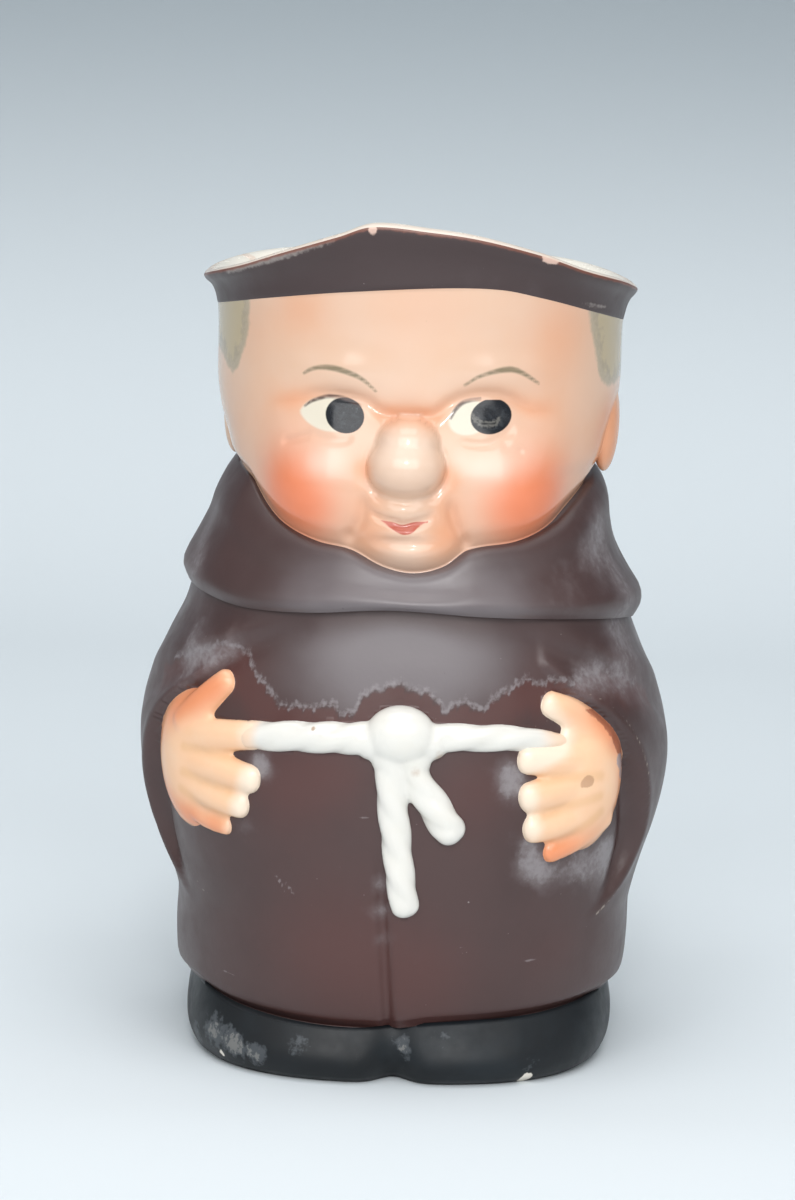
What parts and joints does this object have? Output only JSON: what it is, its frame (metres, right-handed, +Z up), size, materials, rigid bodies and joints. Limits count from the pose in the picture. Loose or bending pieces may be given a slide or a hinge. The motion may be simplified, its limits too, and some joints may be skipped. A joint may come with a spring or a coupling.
{
  "type": "figural porcelain mug",
  "caption": "Slip-cast porcelain mug in the form of a stout monk in a hooded robe, with a raised spout crest and a loop handle behind.",
  "frame": {"origin": "centre of the flat foot, on the vessel's upright axis", "axes": "+Z up, the figure faces -Y, the handle is at +Y, +X is at the right hand of someone looking at its face"},
  "size_m": [0.0895, 0.1137, 0.1401],
  "materials": {
    "glazed_porcelain": "hand-painted, satin glaze outside, white gloss glaze inside"
  },
  "bodies": {
    "root": {"mug": "glazed_porcelain"}
  },
  "joints": []
}
